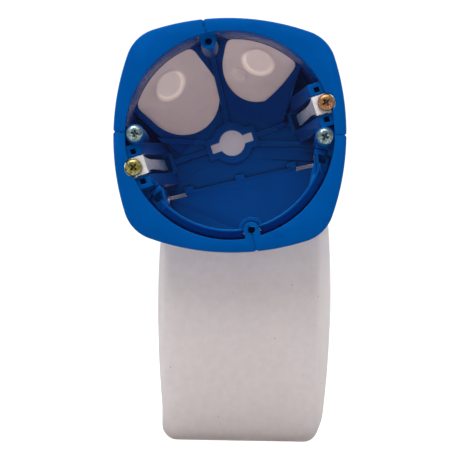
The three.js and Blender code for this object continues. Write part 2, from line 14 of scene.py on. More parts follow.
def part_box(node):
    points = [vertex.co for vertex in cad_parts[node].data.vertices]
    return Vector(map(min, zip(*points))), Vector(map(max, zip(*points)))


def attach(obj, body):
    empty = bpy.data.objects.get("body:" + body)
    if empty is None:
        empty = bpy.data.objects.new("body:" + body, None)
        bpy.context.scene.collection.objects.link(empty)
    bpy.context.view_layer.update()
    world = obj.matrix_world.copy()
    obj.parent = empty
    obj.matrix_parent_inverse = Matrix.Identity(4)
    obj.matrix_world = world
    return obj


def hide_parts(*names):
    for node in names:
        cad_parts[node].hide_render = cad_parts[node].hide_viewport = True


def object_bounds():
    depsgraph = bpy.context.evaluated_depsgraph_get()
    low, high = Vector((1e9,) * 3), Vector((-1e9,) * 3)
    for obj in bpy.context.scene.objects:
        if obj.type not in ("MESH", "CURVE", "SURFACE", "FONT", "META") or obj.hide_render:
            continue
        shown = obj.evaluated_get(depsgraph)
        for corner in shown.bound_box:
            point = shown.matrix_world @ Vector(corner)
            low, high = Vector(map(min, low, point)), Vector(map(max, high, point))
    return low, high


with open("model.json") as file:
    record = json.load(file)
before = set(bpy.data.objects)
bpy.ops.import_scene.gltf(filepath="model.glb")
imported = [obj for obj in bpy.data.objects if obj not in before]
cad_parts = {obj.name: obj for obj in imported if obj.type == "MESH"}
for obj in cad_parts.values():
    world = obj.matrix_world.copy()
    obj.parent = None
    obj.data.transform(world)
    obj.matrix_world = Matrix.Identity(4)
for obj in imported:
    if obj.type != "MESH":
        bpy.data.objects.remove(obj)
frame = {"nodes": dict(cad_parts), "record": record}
cad_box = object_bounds()

# ---------------------------------------------------------------- sizes

MM = 0.001
FLANGE_REAR = next(m for m in frame["record"]["mounts"] if m["name"] == "flange_rear")["pos_m"][1]

# The barrel, measured from the flange's rear face towards the wall cavity.
BARREL_FRONT_RADIUS = 34 * MM
BARREL_REAR_RADIUS = 32.9 * MM
FLOOR_FRONT = FLANGE_REAR + 38.2 * MM
FLOOR_REAR = FLANGE_REAR + 39.8 * MM

# Each 45 degree entry facet rises from a foot line on the floor and stops at a wall beside its claw. Azimuths
# are degrees from +X towards +Z, and reach is how far aside of the facet's middle line that wall stands.
FACET_FOOT = 9.8 * MM
FACET_THICKNESS = 1.2 * MM
ENTRIES = (
    {"azimuth": 139, "side": 1, "reach": 14.5 * MM, "nipple": 25.7 * MM},
    {"azimuth": 71.9, "side": -1, "reach": 13.7 * MM, "nipple": 25.9 * MM},
)

# The nipple on each facet: radii, the depth of its recess and the thickness of the cap behind it.
NIPPLE_MOUTH = 5.6 * MM
NIPPLE_FLOOR = 4.5 * MM
NIPPLE_OUTER = 6.4 * MM
NIPPLE_RECESS = 0.7 * MM
NIPPLE_CAP = 0.9 * MM
NIPPLE_EDGE = 1.1 * MM

# The plain circle beside the right entry's nipple, and its centre's place on that facet.
RING_RADIUS = 2.75 * MM
RING_THICKNESS = 0.22 * MM
RING_DISTANCE = 20.5 * MM
RING_ASIDE = 5 * MM

# The soft skin, open over the two claws.
SKIN_GAP = 0.2 * MM
SKIN_THICKNESS = 0.8 * MM
SKIN_VOXEL = 0.3 * MM
CLAW_AZIMUTHS = (19.5, 199.5)
CLAW_GAP_HALF = 4.4 * MM
CLAW_GAP_START = 29 * MM

# The soft pocket: a bag that leans, drifts and flares a little on its way back and down.
POCKET_LOW, POCKET_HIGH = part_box("module_pocket")
POCKET_WALL = 1.2 * MM
POCKET_HALF = 25.2 * MM
POCKET_CENTRE = 3.86 * MM
POCKET_LEAN = 0.0046  # sideways drift of the middle per unit of height
POCKET_DRIFT = 0.045  # sideways drift of the middle per unit of depth
POCKET_FLARE = 3.2 * MM
POCKET_BELLY = -52 * MM
POCKET_CORNER = 4.5 * MM
POCKET_CORNER_GROWTH = 4 * MM
POCKET_FRONT_EDGE = 2.6 * MM
POCKET_REAR_EDGE = 4.2 * MM
POCKET_END_CROWN = 20 * MM  # how far the rings of its flat ends draw in towards their middle
POCKET_MOUTH_RADIUS = 33 * MM
POCKET_MOUTH_LOW = -28.6 * MM

# The screws, which stand where their plain nodes stand.
SCREW_HEAD = 2.75 * MM
SCREW_HEAD_HEIGHT = 1.85 * MM
SCREW_SHANK = 1.5 * MM
SCREW_ROOT = 1.18 * MM
SCREW_PITCH = 1.5 * MM
SCREW_TIP = 1.6 * MM
SCREW_NECK = 1.2 * MM
# The head's outline, as shares of its radius and of its height.
SCREW_HEAD_OUTLINE = (
    (0.35, 0.0),
    (0.55, 0.01),
    (0.72, 0.06),
    (0.86, 0.17),
    (0.95, 0.34),
    (0.99, 0.55),
    (1.0, 0.78),
    (0.985, 1.0),
)
# Each bar of the cross recess and each shallow tick between them: depth, then half-lengths and half-widths.
RECESS_DEPTH = 1.15 * MM
RECESS_MOUTH = (1.75 * MM, 0.42 * MM)
RECESS_FLOOR = (0.55 * MM, 0.26 * MM)
TICK_DEPTH = 0.16 * MM
TICK_MOUTH = (1.75 * MM, 0.14 * MM)
TICK_FLOOR = (1.5 * MM, 0.05 * MM)

SHARP_ANGLE = 32  # degrees; edges sharper than this are rounded and shaded as edges
BEYOND = 70 * MM  # larger than the box, for cutting tools that reach past it

# ---------------------------------------------------------------- mesh tools


def link(piece):
    bpy.context.scene.collection.objects.link(piece)
    return piece


def piece_from(name, mesh_builder):
    """A new object from a bmesh, its faces turned outward."""
    mesh_builder.normal_update()
    bmesh.ops.recalc_face_normals(mesh_builder, faces=mesh_builder.faces)
    mesh = bpy.data.meshes.new(name)
    mesh_builder.to_mesh(mesh)
    mesh_builder.free()
    return link(bpy.data.objects.new(name, mesh))


def at(azimuth):
    """Turns what is made on the +X side round the box's axis to an azimuth, counted from +X towards +Z."""
    return Matrix.Rotation(-math.radians(azimuth), 4, "Y")


def lathe(name, profile, segments=128, place=Matrix.Identity(4)):
    """A closed solid of revolution about Y from (radius, y) pairs that start and end on the axis."""
    shape = bmesh.new()
    start = shape.verts.new(place @ Vector((0, profile[0][1], 0)))
    end = shape.verts.new(place @ Vector((0, profile[-1][1], 0)))
    rings = []
    for radius, y in profile[1:-1]:
        angles = [2 * math.pi * i / segments for i in range(segments)]
        spots = [Vector((radius * math.cos(a), y, radius * math.sin(a))) for a in angles]
        rings.append([shape.verts.new(place @ spot) for spot in spots])
    for i in range(segments):
        j = (i + 1) % segments
        shape.faces.new((start, rings[0][i], rings[0][j]))
        shape.faces.new((end, rings[-1][j], rings[-1][i]))
        for near, far in zip(rings, rings[1:]):
            shape.faces.new((near[i], near[j], far[j], far[i]))
    return piece_from(name, shape)


def block(name, low, high, place=Matrix.Identity(4)):
    """A plain box, used only as a cutting tool."""
    shape = bmesh.new()
    bmesh.ops.create_cube(shape, size=1)
    size = Vector(high) - Vector(low)
    middle = (Vector(high) + Vector(low)) / 2
    for vert in shape.verts:
        vert.co = place @ (middle + Vector(a * b for a, b in zip(vert.co, size)))
    return piece_from(name, shape)


def baked(piece):
    """Applies a piece's modifiers to its mesh."""
    graph = bpy.context.evaluated_depsgraph_get()
    mesh = bpy.data.meshes.new_from_object(piece.evaluated_get(graph))
    piece.modifiers.clear()
    piece.data = mesh
    return piece


def combined(operation, base, *tools):
    """Joins, cuts or intersects base with each tool, and removes the tools."""
    for tool in tools:
        step = base.modifiers.new(operation, "BOOLEAN")
        step.operation = operation
        step.solver = "MANIFOLD"
        step.object = tool
        baked(base)
        bpy.data.objects.remove(tool)
    return base


def smoothstep(value, low, high):
    t = min(1, max(0, (value - low) / (high - low)))
    return t * t * (3 - 2 * t)


def fillet(centre, radius, start, end, steps=6):
    """Points of an arc in a (radius, y) profile, between two angles in degrees."""
    angles = [math.radians(start + (end - start) * i / steps) for i in range(steps + 1)]
    return [(centre[0] + radius * math.cos(a), centre[1] + radius * math.sin(a)) for a in angles]


# ---------------------------------------------------------------- the barrel's outside


def on_facet(entry, distance):
    """The frame of an entry facet at a distance from the box's axis: local +Y points out of the box."""
    depth = FLOOR_FRONT - (distance - FACET_FOOT)
    tilt = Matrix.Rotation(-math.pi / 4, 4, "Z")
    return at(entry["azimuth"]) @ Matrix.Translation((distance, depth, 0)) @ tilt


def beyond_facet(entry, offset):
    """Everything beyond a facet, moved out by an offset."""
    wall = entry["side"] * (entry["reach"] - offset)
    inner = wall - entry["side"] * BEYOND
    low = (-2 * BEYOND, offset, min(wall, inner))
    high = (2 * BEYOND, offset + BEYOND, max(wall, inner))
    return block("wedge", low, high, on_facet(entry, FACET_FOOT))


def envelope(name, front, offset):
    """The barrel's outside from a depth to its floor, grown by an offset."""
    share = (front - FLANGE_REAR) / (FLOOR_REAR - FLANGE_REAR)
    front_radius = BARREL_FRONT_RADIUS + (BARREL_REAR_RADIUS - BARREL_FRONT_RADIUS) * share
    rear = FLOOR_REAR + offset
    profile = [(0, front), (front_radius + offset, front), (BARREL_REAR_RADIUS + offset, rear), (0, rear)]
    tools = [beyond_facet(entry, FACET_THICKNESS + offset) for entry in ENTRIES]
    return combined("DIFFERENCE", lathe(name, profile, segments=160), *tools)


# ---------------------------------------------------------------- finishing modifiers


def geometry_group(name):
    group = bpy.data.node_groups.new(name, "GeometryNodeTree")
    group.interface.new_socket("Geometry", in_out="INPUT", socket_type="NodeSocketGeometry")
    group.interface.new_socket("Geometry", in_out="OUTPUT", socket_type="NodeSocketGeometry")
    return group, group.nodes.new("NodeGroupInput"), group.nodes.new("NodeGroupOutput")


def weld_group():
    """Joins the split corners of an imported node and drops its stored normals."""
    group, start, end = geometry_group("weld")
    drop = group.nodes.new("GeometryNodeRemoveAttribute")
    drop.inputs["Name"].default_value = "custom_normal"
    merge = group.nodes.new("GeometryNodeMergeByDistance")
    merge.inputs["Distance"].default_value = 0.002 * MM
    group.links.new(start.outputs[0], drop.inputs["Geometry"])
    group.links.new(drop.outputs[0], merge.inputs["Geometry"])
    group.links.new(merge.outputs[0], end.inputs[0])
    return group


def smooth_group(degrees):
    """Shades smoothly across every edge flatter than an angle."""
    group, start, end = geometry_group("smooth")
    faces = group.nodes.new("GeometryNodeSetShadeSmooth")
    faces.domain = "FACE"
    angle = group.nodes.new("GeometryNodeInputMeshEdgeAngle")
    sharp = group.nodes.new("ShaderNodeMath")
    sharp.operation = "GREATER_THAN"
    sharp.inputs[1].default_value = math.radians(degrees)
    edges = group.nodes.new("GeometryNodeSetShadeSmooth")
    edges.domain = "EDGE"
    edges.inputs["Shade Smooth"].default_value = False
    group.links.new(start.outputs[0], faces.inputs["Geometry"])
    group.links.new(faces.outputs[0], edges.inputs["Geometry"])
    group.links.new(angle.outputs["Unsigned Angle"], sharp.inputs[0])
    group.links.new(sharp.outputs[0], edges.inputs["Selection"])
    group.links.new(edges.outputs[0], end.inputs[0])
    return group


WELD = weld_group()
SMOOTH = smooth_group(SHARP_ANGLE)


def add_group(piece, group):
    step = piece.modifiers.new(group.name, "NODES")
    step.node_group = group


def finish_hard(piece, edge_radius):
    """Rounds the edges of a carried-over node and smooths its curved faces."""
    add_group(piece, WELD)
    bevel = piece.modifiers.new("edges", "BEVEL")
    bevel.width = edge_radius
    bevel.segments = 2
    bevel.limit_method = "ANGLE"
    bevel.angle_limit = math.radians(SHARP_ANGLE)
    bevel.use_clamp_overlap = False
    bevel.miter_outer = "MITER_ARC"
    add_group(piece, SMOOTH)


# ---------------------------------------------------------------- materials

# A noise's values lie mostly in the first band, and nearly all in the second.
NOISE_MIDDLE = (0.35, 0.65)
NOISE_MOST = (0.3, 0.7)


class Shader:
    """A node material with short calls for the nodes used here."""

    def __init__(self, name):
        self.material = bpy.data.materials.new(name)
        self.material.use_nodes = True
        self.nodes = self.material.node_tree.nodes
        self.links = self.material.node_tree.links
        self.surface = self.nodes["Principled BSDF"]
        self.place = self.nodes.new("ShaderNodeTexCoord").outputs["Object"]

    def link(self, source, target):
        self.links.new(source, target)

    def set(self, **values):
        for name, value in values.items():
            self.surface.inputs[name.replace("_", " ")].default_value = value

    def put(self, name, source):
        self.link(source, self.surface.inputs[name])

    def noise(self, size, detail=3, roughness=0.5, stretch=None):
        """Noise whose lumps are about a size in metres across."""
        place = self.place
        if stretch:
            scaled = self.nodes.new("ShaderNodeMapping")
            scaled.inputs["Scale"].default_value = stretch
            self.link(self.place, scaled.inputs["Vector"])
            place = scaled.outputs[0]
        texture = self.nodes.new("ShaderNodeTexNoise")
        texture.inputs["Scale"].default_value = 1 / size
        texture.inputs["Detail"].default_value = detail
        texture.inputs["Roughness"].default_value = roughness
        self.link(place, texture.inputs["Vector"])
        return texture.outputs["Fac"]

    def cells(self, size):
        """Distance to the nearest of scattered points about a size apart."""
        texture = self.nodes.new("ShaderNodeTexVoronoi")
        texture.inputs["Scale"].default_value = 1 / size
        self.link(self.place, texture.inputs["Vector"])
        return texture.outputs["Distance"]

    def span(self, source, low, high, to_low, to_high):
        """Maps a range of values to another, held at its ends."""
        node = self.nodes.new("ShaderNodeMapRange")
        for name, value in zip(("From Min", "From Max", "To Min", "To Max"), (low, high, to_low, to_high)):
            node.inputs[name].default_value = value
        self.link(source, node.inputs["Value"])
        return node.outputs["Result"]

    def maths(self, operation, a, b):
        node = self.nodes.new("ShaderNodeMath")
        node.operation = operation
        node.use_clamp = True
        for socket, value in zip(node.inputs, (a, b)):
            if isinstance(value, (int, float)):
                socket.default_value = value
            else:
                self.link(value, socket)
        return node.outputs[0]

    def mix(self, share, first, second):
        """A colour between two, each a colour or a socket."""
        node = self.nodes.new("ShaderNodeMix")
        node.data_type = "RGBA"
        self.link(share, node.inputs["Factor"])
        for socket, value in zip((node.inputs[6], node.inputs[7]), (first, second)):
            if isinstance(value, tuple):
                socket.default_value = (*value, 1)
            else:
                self.link(value, socket)
        return node.outputs[2]

    def bump(self, height, depth, strength=1.0, under=None):
        """Relief from a height between 0 and 1, depth metres deep."""
        node = self.nodes.new("ShaderNodeBump")
        node.inputs["Distance"].default_value = depth
        node.inputs["Strength"].default_value = strength
        self.link(height, node.inputs["Height"])
        if under:
            self.link(under, node.inputs["Normal"])
        return node.outputs["Normal"]

    def edges(self, radius):
        """1 on sharp edges, 0 on flat and gently curved faces."""
        rounded = self.nodes.new("ShaderNodeBevel")
        rounded.samples = 4
        rounded.inputs["Radius"].default_value = radius
        true = self.nodes.new("ShaderNodeNewGeometry")
        dot = self.nodes.new("ShaderNodeVectorMath")
        dot.operation = "DOT_PRODUCT"
        self.link(rounded.outputs[0], dot.inputs[0])
        self.link(true.outputs["Normal"], dot.inputs[1])
        return self.span(dot.outputs["Value"], 0.98, 0.8, 0, 1)

    def crevices(self, reach):
        """1 in the open, 0 in corners and recesses."""
        node = self.nodes.new("ShaderNodeAmbientOcclusion")
        node.samples = 8
        node.inputs["Distance"].default_value = reach
        return node.outputs["AO"]

    def blend(self, share, first, second):
        """A number between two sockets."""
        node = self.nodes.new("ShaderNodeMix")
        for socket, source in zip(node.inputs[0:4], (share, None, first, second)):
            if source:
                self.link(source, socket)
        return node.outputs[0]

    def split(self, source):
        node = self.nodes.new("ShaderNodeSeparateXYZ")
        self.link(source, node.inputs[0])
        return node.outputs

    def depth(self, low, high):
        """0 to 1 as y goes from low to high."""
        return self.span(self.split(self.place)["Y"], low, high, 0, 1)

    def wall_streaks(self, width, plain_level=0.6):
        """Noise drawn out round the box's axis, like tool marks on the barrel's wall, and level elsewhere."""
        axes = self.split(self.place)
        angle = self.nodes.new("ShaderNodeMath")
        angle.operation = "ARCTAN2"
        self.link(axes["Z"], angle.inputs[0])
        self.link(axes["X"], angle.inputs[1])
        around = self.nodes.new("ShaderNodeCombineXYZ")
        turns = self.nodes.new("ShaderNodeMath")
        turns.operation = "MULTIPLY"
        turns.inputs[1].default_value = width * 2.5
        self.link(angle.outputs[0], turns.inputs[0])
        self.link(turns.outputs[0], around.inputs["X"])
        self.link(axes["Y"], around.inputs["Y"])
        texture = self.nodes.new("ShaderNodeTexNoise")
        texture.inputs["Scale"].default_value = 1 / width
        texture.inputs["Detail"].default_value = 4
        self.link(around.outputs[0], texture.inputs["Vector"])
        wall_start = BARREL_REAR_RADIUS - 2.2 * MM
        on_wall = self.span(self.reach(), wall_start, wall_start + 0.8 * MM, 0, 1)
        plain = self.nodes.new("ShaderNodeValue")
        plain.outputs[0].default_value = plain_level
        return self.blend(on_wall, plain.outputs[0], texture.outputs["Fac"])

    def reach(self):
        """Distance from the box's axis."""
        axes = self.split(self.place)
        flat = self.nodes.new("ShaderNodeCombineXYZ")
        self.link(axes["X"], flat.inputs["X"])
        self.link(axes["Z"], flat.inputs["Z"])
        length = self.nodes.new("ShaderNodeVectorMath")
        length.operation = "LENGTH"
        self.link(flat.outputs[0], length.inputs[0])
        return length.outputs["Value"]


INNER_GLOW = (0.003, 0.0035, 0.012)  # a painted glow in the plastic's hollows, for what little light comes through the plastic into them
HOLLOW = 14 * MM  # how far in from the flange, and how enclosed, the plastic takes its painted shade, the deep tone


def blue_plastic(name, base, lit, deep, gloom):
    """Moulded plastic: grain and flow marks, edges painted lighter towards the lit colour as rubbed wear and
    a painted edge highlight, and a painted shade, the deep tone, in its hollows.

    gloom is the least share of that painted shade, at the bottom and at the top of the hollow.
    """
    shader = Shader(name)
    clouds = shader.noise(9 * MM, detail=4)
    grain = shader.noise(0.28 * MM, detail=2)
    streaks = shader.wall_streaks(0.9 * MM)
    body = shader.mix(shader.span(clouds, *NOISE_MIDDLE, 0, 1), base, tuple(c * 0.9 for c in base))
    # Painted shade: deep in, the plastic is darkened towards the deep tone where it is enclosed, and more
    # towards the top, where the rim's shadow falls.
    inside = shader.depth(FLANGE_REAR, FLANGE_REAR + HOLLOW)
    under_rim = shader.span(shader.split(shader.place)["Z"], -8 * MM, 18 * MM, *gloom)
    closed = shader.maths("MAXIMUM", shader.span(shader.crevices(HOLLOW), 0.1, 0.85, 1, 0), under_rim)
    shaded = shader.mix(shader.maths("MULTIPLY", inside, closed), body, deep)
    # Painted shade in the creases and narrow gaps inside, darker than the deep tone.
    corners = shader.span(shader.crevices(1.6 * MM), 0.3, 0.95, 0.7, 0)
    lined = shader.mix(shader.maths("MULTIPLY", inside, corners), shaded, tuple(c * 0.35 for c in deep))
    # Edges painted lighter: partly rubbed wear, partly a painted edge highlight.
    wear_and_painted_edge_light = shader.maths("MULTIPLY", shader.edges(0.35 * MM), shader.span(clouds, *NOISE_MOST, 0.35, 0.9))
    shader.put("Base Color", shader.mix(wear_and_painted_edge_light, lined, lit))
    smooth = shader.maths("MULTIPLY", shader.depth(FLANGE_REAR, FLANGE_REAR + 3 * MM), 0.9)
    matt = shader.span(shader.noise(3 * MM), *NOISE_MOST, 0.42, 0.52)
    gloss = shader.span(streaks, 0.4, 0.6, 0.08, 0.28)
    shader.put("Roughness", shader.blend(smooth, matt, gloss))
    rough_grain = shader.bump(grain, 0.02 * MM, 0.5)
    shader.put("Normal", shader.bump(streaks, 0.02 * MM, 0.35, rough_grain))
    # Painted glow: the hollow gives off a little light of its own.
    shader.put("Emission Strength", inside)
    shader.set(IOR=1.49, Specular_Tint=(0.0, 0.3, 0.9, 1), Emission_Color=(*INNER_GLOW, 1))
    return shader.material


UNLIT_INSIDE = (0.14, 0.13, 0.17)  # the pocket's inner side, where little of the room's light gets
DUST_TONE = 0.4  # a speck's tone, as a share of the tone round it


def behind_floor(shader, height):
    """1 on what the camera sees through the barrel's openings, 0 elsewhere."""
    enclosed = shader.span(shader.crevices(20 * MM), 0.5, 0.85, 1, 0)
    far_back = shader.depth(FLOOR_FRONT - 16 * MM, FLOOR_FRONT - 6 * MM)
    high_up = shader.span(height, -50 * MM, -38 * MM, 0, 1)
    hidden = shader.maths("MULTIPLY", enclosed, shader.maths("MULTIPLY", far_back, high_up))
    path = shader.nodes.new("ShaderNodeLightPath")
    return shader.maths("MULTIPLY", hidden, path.outputs["Is Camera Ray"])


def soft_rubber(name, base, tint, through, thin, share, near_hub=None, foot=None, dark_inside=False):
    """Soft translucent moulding: milky and a little cloudy, with a painted glow where its wall is thinner and
    a painted shine on marked spots, and with specks of dust.

    base and tint are its surface, through is the colour of the light that passes, the next colour that light
    where the marks paint glow and shine, and share how much of the light passes. near_hub tones the middle of
    the skin, foot the pocket's lower end, and dark_inside the pocket's inner side as seen through the floor.
    """
    shader = Shader(name)
    clouds = shader.noise(14 * MM, detail=5)
    fine = shader.noise(0.5 * MM, detail=3)
    mottle = shader.noise(2.2 * MM, detail=4, roughness=0.65)
    body = shader.mix(shader.span(clouds, *NOISE_MIDDLE, 0, 1), base, tint)
    height = shader.split(shader.place)["Z"]
    if foot:
        at_foot = shader.span(height, POCKET_LOW.z, POCKET_LOW.z + 5 * MM, 0.4, 0)
        body = shader.mix(at_foot, body, foot)
    patches = shader.span(shader.noise(6 * MM), 0.5, 0.58, 0, 1)
    specks = shader.maths("MULTIPLY", shader.span(shader.cells(4.5 * MM), 0.05, 0.065, 1, 0), patches)
    dusty = shader.maths("MULTIPLY", specks, 0.6)
    reflected = shader.mix(dusty, body, tuple(c * DUST_TONE for c in base))
    shader.put("Roughness", shader.span(fine, *NOISE_MOST, 0.48, 0.6))
    under = shader.bump(clouds, 0.3 * MM, 0.25)
    relief = shader.bump(fine, 0.02 * MM, 0.4, under)
    shader.put("Normal", relief)
    shader.set(Subsurface_Weight=0.6, Subsurface_Scale=2.4 * MM, Subsurface_Radius=(1.0, 0.85, 0.75))
    shader.set(IOR=1.43)
    milky = shader.mix(shader.span(mottle, *NOISE_MIDDLE, 0, 1), through, tuple(c * 0.93 for c in through))
    if near_hub:
        milky = shader.mix(shader.span(shader.reach(), 8 * MM, 10 * MM, 1, 0), milky, near_hub)
    # The marks carry painted glow and painted shine: brighter and more translucent where marked.
    marks = shader.nodes.new("ShaderNodeAttribute")
    marks.attribute_name = "thin"
    shining = shader.mix(marks.outputs["Fac"], milky, thin)
    passing = shader.mix(dusty, shining, tuple(c * DUST_TONE for c in through))
    if dark_inside:
        unlit = behind_floor(shader, height)
        reflected = shader.mix(unlit, reflected, UNLIT_INSIDE)
        passing = shader.mix(unlit, passing, UNLIT_INSIDE)
    shader.put("Base Color", reflected)
    glow = shader.nodes.new("ShaderNodeBsdfTranslucent")
    shader.link(passing, glow.inputs["Color"])
    shader.link(relief, glow.inputs["Normal"])
    both = shader.nodes.new("ShaderNodeMixShader")
    shader.link(shader.span(marks.outputs["Fac"], 0, 1, share, 0.85), both.inputs["Fac"])
    shader.link(shader.surface.outputs[0], both.inputs[1])
    shader.link(glow.outputs[0], both.inputs[2])
    shader.link(both.outputs[0], shader.nodes["Material Output"].inputs["Surface"])
    return shader.material


STEEL_CORNER_TONE = (0.16, 0.17, 0.2)


def bright_steel(name, base, foot, stretch):
    """Zinc-plated strip: faint rolling lines and dull patches, painted towards its foot colour deeper in the
    box as a painted shade, and darker in its corners.
    """
    shader = Shader(name)
    lines = shader.noise(0.5 * MM, detail=2, stretch=stretch)
    patches = shader.noise(1.8 * MM, detail=4, roughness=0.6)
    body = shader.mix(shader.span(patches, 0.4, 0.62, 0, 1), base, tuple(c * 0.8 for c in base))
    # Painted shade: deeper in the box the steel is painted towards its foot colour.
    lower = shader.depth(FLANGE_REAR + 24 * MM, FLANGE_REAR + 37 * MM)
    painted_foot_shade = shader.mix(shader.maths("MULTIPLY", lower, shader.span(patches, 0.3, 0.6, 0.55, 1)), body, foot)
    # Darker in its corners.
    darker_in_corners = shader.span(shader.crevices(0.8 * MM), 0.2, 0.8, 0.5, 0)
    shader.put("Base Color", shader.mix(darker_in_corners, painted_foot_shade, STEEL_CORNER_TONE))
    shader.put("Roughness", shader.span(patches, *NOISE_MOST, 0.36, 0.54))
    shader.put("Normal", shader.bump(lines, 0.01 * MM, 0.4))
    shader.set(Metallic=0.12)
    return shader.material


def plated_screw(name, bright, middle, dark, dirt):
    """Plated steel: patches of uneven passivation, worn bright edges and dirt in the recess."""
    shader = Shader(name)
    patches = shader.noise(1.5 * MM, detail=4, roughness=0.6)
    flecks = shader.noise(0.45 * MM, detail=3)
    scratches = shader.noise(0.16 * MM, detail=3, roughness=0.65)
    toned = shader.mix(shader.span(patches, 0.4, 0.56, 0, 1), bright, middle)
    body = shader.mix(shader.span(flecks, 0.46, 0.58, 0, 0.9), toned, dark)
    open_to_air = shader.crevices(1.3 * MM)
    dirty = shader.mix(shader.span(open_to_air, 0.45, 0.85, 0.95, 0), body, dirt)
    worn = tuple(min(1, c * 1.3) for c in bright)
    shader.put("Base Color", shader.mix(shader.edges(0.12 * MM), dirty, worn))
    shader.put("Roughness", shader.span(scratches, *NOISE_MOST, 0.24, 0.45))
    shader.put("Normal", shader.bump(scratches, 0.012 * MM, 0.5, shader.bump(flecks, 0.03 * MM, 0.5)))
    shader.set(Metallic=0.85)
    return shader.material


def dress(piece, material):
    piece.data.materials.clear()
    piece.data.materials.append(material)


# ---------------------------------------------------------------- soft rear skin


def nipple_cap(entry):
    """The domed cap that stands out of a facet behind each entry."""
    start = FACET_THICKNESS + SKIN_GAP
    top = start + NIPPLE_RECESS + NIPPLE_CAP
    rounded = fillet((NIPPLE_OUTER - NIPPLE_EDGE, top - NIPPLE_EDGE), NIPPLE_EDGE, 0, 90)
    profile = [(0, start), (NIPPLE_OUTER, start), *rounded, (0, top)]
    return lathe("cap", profile, 96, on_facet(entry, entry["nipple"]))


def nipple_hollow(entry):
    """The recess in that cap, its mouth flared into the skin's inner side."""
    start = FACET_THICKNESS + SKIN_GAP
    floor = start + NIPPLE_RECESS
    clear = start - 2 * MM
    profile = [
        (0, clear),
        (NIPPLE_MOUTH + NIPPLE_RECESS, clear),
        (NIPPLE_MOUTH + 0.2 * MM, start - 0.2 * MM),
        (NIPPLE_MOUTH - 0.3 * MM, start + 0.15 * MM),
        (NIPPLE_FLOOR + 0.4 * MM, floor - 0.12 * MM),
        (NIPPLE_FLOOR, floor),
        (0, floor),
    ]
    return lathe("hollow", profile, 96, on_facet(entry, entry["nipple"]))


def date_ring():
    """A plain raised circle on the skin beside the right entry's nipple."""
    around, through = 64, 10
    shape = bmesh.new()
    lift = Matrix.Translation((0, FACET_THICKNESS + SKIN_GAP, RING_ASIDE))
    place = on_facet(ENTRIES[1], RING_DISTANCE) @ lift
    rings = []
    for i in range(around):
        a = 2 * math.pi * i / around
        ring = []
        for j in range(through):
            b = 2 * math.pi * j / through
            reach = RING_RADIUS + RING_THICKNESS * math.cos(b)
            spot = Vector((reach * math.cos(a), RING_THICKNESS * math.sin(b), reach * math.sin(a)))
            ring.append(shape.verts.new(place @ spot))
        rings.append(ring)
    for i in range(around):
        near, far = rings[i], rings[(i + 1) % around]
        for j in range(through):
            k = (j + 1) % through
            shape.faces.new((near[j], near[k], far[k], far[j]))
    return piece_from("ring", shape)


def mark_thin_and_painted_shine(piece, measure):
    """Stores at each vertex how much painted glow and painted shine the soft material adds."""
    thin = piece.data.attributes.new("thin", "FLOAT", "POINT")
    for vert in piece.data.vertices:
        thin.data[vert.index].value = measure(vert.co)


NIPPLE_DISC_SHINE = 0.34
NIPPLE_RIM_SHINE = 0.1
NIPPLE_INNER_RIM_SHINE = 0.6
RING_SHINE = 0.5
RING_DISC_SHINE = 0.16


def thinness_and_painted_shine(spot):
    """How much brighter the skin shines at a spot: in each nipple's disc and rim, and on the plain circle."""
    # Painted glow in each nipple's thinner disc and rim, and painted shine on the plain circle.
    for entry in ENTRIES:
        local = on_facet(entry, entry["nipple"]).inverted() @ spot
        reach = math.hypot(local.x, local.z)
        if reach > NIPPLE_OUTER + 2 * MM:
            continue
        # Painted highlight: the rim is painted brighter on its side towards the hub.
        inward = smoothstep(-local.x / max(reach, MM), -0.75, 0.1)
        rim = smoothstep(reach, NIPPLE_FLOOR - 0.4 * MM, NIPPLE_FLOOR + 0.5 * MM)
        rim *= 1 - smoothstep(reach, NIPPLE_MOUTH - 0.3 * MM, NIPPLE_MOUTH + 0.5 * MM)
        disc = 1 - smoothstep(reach, NIPPLE_FLOOR - 0.2 * MM, NIPPLE_FLOOR + 0.8 * MM)
        return min(1, NIPPLE_DISC_SHINE * disc + (NIPPLE_RIM_SHINE + NIPPLE_INNER_RIM_SHINE * inward) * rim)
    centre = on_facet(ENTRIES[1], RING_DISTANCE) @ Matrix.Translation((0, 0, RING_ASIDE))
    local = centre.inverted() @ spot
    reach = math.hypot(local.x, local.z)
    fade = 0.5 * MM
    from_inside = smoothstep(reach, RING_RADIUS - fade, RING_RADIUS)
    circle = from_inside - smoothstep(reach, RING_RADIUS, RING_RADIUS + fade)
    return RING_SHINE * circle + RING_DISC_SHINE * (1 - from_inside)


def rear_skin():
    """The soft skin round the back of the barrel, with its nipples, cut clear of the claws and the pocket."""
    low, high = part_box("rear_skin")
    front = low.y
    outside = envelope("soft_rear_skin", front, SKIN_GAP + SKIN_THICKNESS)
    combined("UNION", outside, *[nipple_cap(entry) for entry in ENTRIES])
    combined("DIFFERENCE", outside, envelope("inside", front - 1 * MM, SKIN_GAP))
    combined("DIFFERENCE", outside, *[nipple_hollow(entry) for entry in ENTRIES])
    for azimuth in CLAW_AZIMUTHS:
        near = (CLAW_GAP_START, front - MM, -CLAW_GAP_HALF)
        far = (BEYOND, high.y + MM, CLAW_GAP_HALF)
        combined("DIFFERENCE", outside, block("gap", near, far, at(azimuth)))
    below = block("below", (-BEYOND, front - MM, -BEYOND), (BEYOND, high.y + MM, low.z))
    combined("DIFFERENCE", outside, below)
    even = outside.modifiers.new("even", "REMESH")
    even.mode = "VOXEL"
    even.voxel_size = SKIN_VOXEL
    soft = outside.modifiers.new("soft", "SMOOTH")
    soft.factor = 0.5
    soft.iterations = 6
    baked(outside)
    combined("UNION", outside, date_ring())
    for face in outside.data.polygons:
        face.use_smooth = True
    mark_thin_and_painted_shine(outside, thinness_and_painted_shine)
    return outside


# ---------------------------------------------------------------- soft pocket


